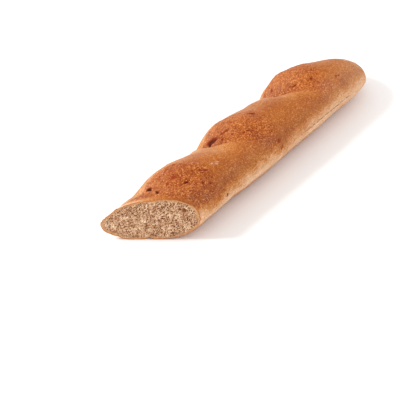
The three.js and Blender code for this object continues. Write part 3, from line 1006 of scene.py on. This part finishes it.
# %% Crust material
def crust_material():
    """The finish of the crust: all the colours, duller tears, a faint sheen and a fine bump."""
    wiring = Wiring("baked_crust")
    torn = wiring.number("tear")
    grain = wiring.noise(1.3, 2, 0.6)
    dust = wiring.noise(0.8, 2, 0.6)
    colour = speckled(wiring, browned_colour(wiring, torn, grain, dust), torn)
    colour = rimmed(wiring, darkened(wiring, sheened_and_floured(wiring, colour)))
    wiring.set(wiring.shader.inputs["Base Color"], colour)
    dull = wiring.math("MULTIPLY_ADD", torn, 0.16, 0.50)
    wiring.set(wiring.shader.inputs["Roughness"], wiring.math("MULTIPLY_ADD", grain, 0.14, dull))
    wiring.set(wiring.shader.inputs["Specular IOR Level"], 0.12)
    wiring.set(wiring.shader.inputs["Sheen Weight"], 0.05)
    wiring.set(wiring.shader.inputs["Sheen Roughness"], 0.4)
    fine_bump = wiring.bump(dust, 0.2)
    torn_bump = wiring.bump(wiring.math("MULTIPLY", grain, torn), 0.5, fine_bump)
    wiring.set(wiring.shader.inputs["Normal"], torn_bump)
    return wiring.material


crust.data.materials.append(crust_material())
print("baked_crust has", len(crust.data.materials[0].node_tree.nodes), "nodes")

# %% [markdown]
# ### Crumb finish
#
# The walls between the bubbles are creamy and catch the light. Deep in the bubbles the light has
# been through bread on its way, so it is brown rather than black. Subsurface scattering could do
# that, but it is slow, and a ramp over the depth looks the same: it is painted shade, darker the
# deeper a point lies in a bubble. The crumb is fully dull.


# %% Crumb material
def crumb_material():
    """The crumb's finish: cream walls, brown hollows in painted shade and a browner band by the crust."""
    wiring = Wiring("open_crumb")
    uneven = wiring.math("SUBTRACT", wiring.noise(1.4, 3, 0.6), 0.5)
    colour = wiring.ramp(wiring.math("MULTIPLY_ADD", uneven, 0.30, wiring.number("sunk")), [
        (0.02, paint(252, 228, 196)),
        (0.18, paint(214, 172, 136)),
        (0.36, paint(176, 126, 90)),
        (0.58, paint(138, 82, 52)),
        (0.85, paint(98, 48, 28)),
    ])
    edge_tone = wiring.math("MULTIPLY", wiring.number("rimward"), 0.45)
    wiring.set(wiring.shader.inputs["Base Color"], wiring.mix(edge_tone, colour, paint(196, 144, 98)))
    wiring.set(wiring.shader.inputs["Roughness"], 0.85)
    wiring.set(wiring.shader.inputs["Specular IOR Level"], 0.1)
    wiring.set(wiring.shader.inputs["Normal"], wiring.bump(wiring.noise(0.6, 2, 0.6), 0.15))
    return wiring.material


crumb.data.materials.append(crumb_material())
print("open_crumb has", len(crumb.data.materials[0].node_tree.nodes), "nodes")

# %% [markdown]
# ## Place the pieces
#
# Both pieces stand for the one solid of the frame and ride on its only body.

# %% Ride and replace
for piece, slot in ((crust, "crust"), (crumb, "crumb")):
    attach(piece, "root")
    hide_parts("loaf")
    print(piece.name, "rides on the loaf's body")

# %% [markdown]
# ## Studio
#
# A table-top picture needs little: a pale floor, a bright even surround, and soft light. A lamp on
# the left gives the gentle shadow, and a wide, weak one on the right lifts the flank there. Both are
# area lights, because the softness of a shadow comes from the size of its light. The camera is a
# long lens that looks down on the cut end.

# %% Floor
FLOOR_REACH, FLOOR_DROP = 3.0, 1e-4


def make_floor():
    """A wide flat sheet just under the loaf, faintly warm."""
    mesh = bpy.data.meshes.new("floor")
    signs = ((-1, -1), (1, -1), (1, 1), (-1, 1))
    corners = [(x * FLOOR_REACH, y * FLOOR_REACH, -FLOOR_DROP) for x, y in signs]
    mesh.from_pydata(corners, [], [(0, 1, 2, 3)])
    floor = bpy.data.objects.new("floor", mesh)
    bpy.context.scene.collection.objects.link(floor)
    finish = bpy.data.materials.new("floor_paper")
    finish.use_nodes = True
    shader = finish.node_tree.nodes["Principled BSDF"]
    shader.inputs["Base Color"].default_value = (0.94, 0.92, 0.91, 1)
    shader.inputs["Roughness"].default_value = 0.9
    mesh.materials.append(finish)
    return floor


make_floor()
print("floor of", 2 * FLOOR_REACH, "metres")


# %% Lights
def soft_light(name, place, aim, size, watts):
    """A square light of the given size in metres that looks from a place to an aim."""
    lamp = bpy.data.lights.new(name, "AREA")
    lamp.size = size
    lamp.energy = watts
    light = bpy.data.objects.new(name, lamp)
    light.location = place
    light.rotation_euler = (Vector(aim) - Vector(place)).to_track_quat("-Z", "Y").to_euler()
    bpy.context.scene.collection.objects.link(light)
    return light


soft_light("window", (-1.0, 1.15, 1.3), (0, 0, 0), 0.40, 27)
soft_light("reflector", (0.9, -1.2, 1.5), (0, 0, 0), 1.2, 8)
surround = bpy.data.worlds.new("surround")
surround.use_nodes = True
surround.node_tree.nodes["Background"].inputs["Color"].default_value = (1, 1, 1, 1)
surround.node_tree.nodes["Background"].inputs["Strength"].default_value = 0.91
bpy.context.scene.world = surround
bpy.context.scene.view_settings.view_transform = "Standard"
print("lights:", [light.name for light in bpy.data.lights])

# %% Camera
AZIMUTH, ELEVATION = math.radians(-53.39), math.radians(37)
DISTANCE = 1.5
AIM = np.array([55.36, -13.69, 17.42]) + shift
PIXEL = 0.92 * MM  # at the aim, in a frame 400 pixels wide
FRAME_WIDTH = 400
SENSOR = 36.0

lens = bpy.data.cameras.new("camera")
lens.sensor_width = SENSOR
lens.lens = DISTANCE / PIXEL / FRAME_WIDTH * SENSOR
camera = bpy.data.objects.new("camera", lens)
back = Vector((math.sin(AZIMUTH) * math.cos(ELEVATION), -math.cos(AZIMUTH) * math.cos(ELEVATION),
               math.sin(ELEVATION)))
camera.location = Vector(AIM * MM) + back * DISTANCE
camera.rotation_euler = back.to_track_quat("Z", "Y").to_euler()
bpy.context.scene.collection.objects.link(camera)
bpy.context.scene.camera = camera
print("lens in mm:", round(lens.lens, 1))
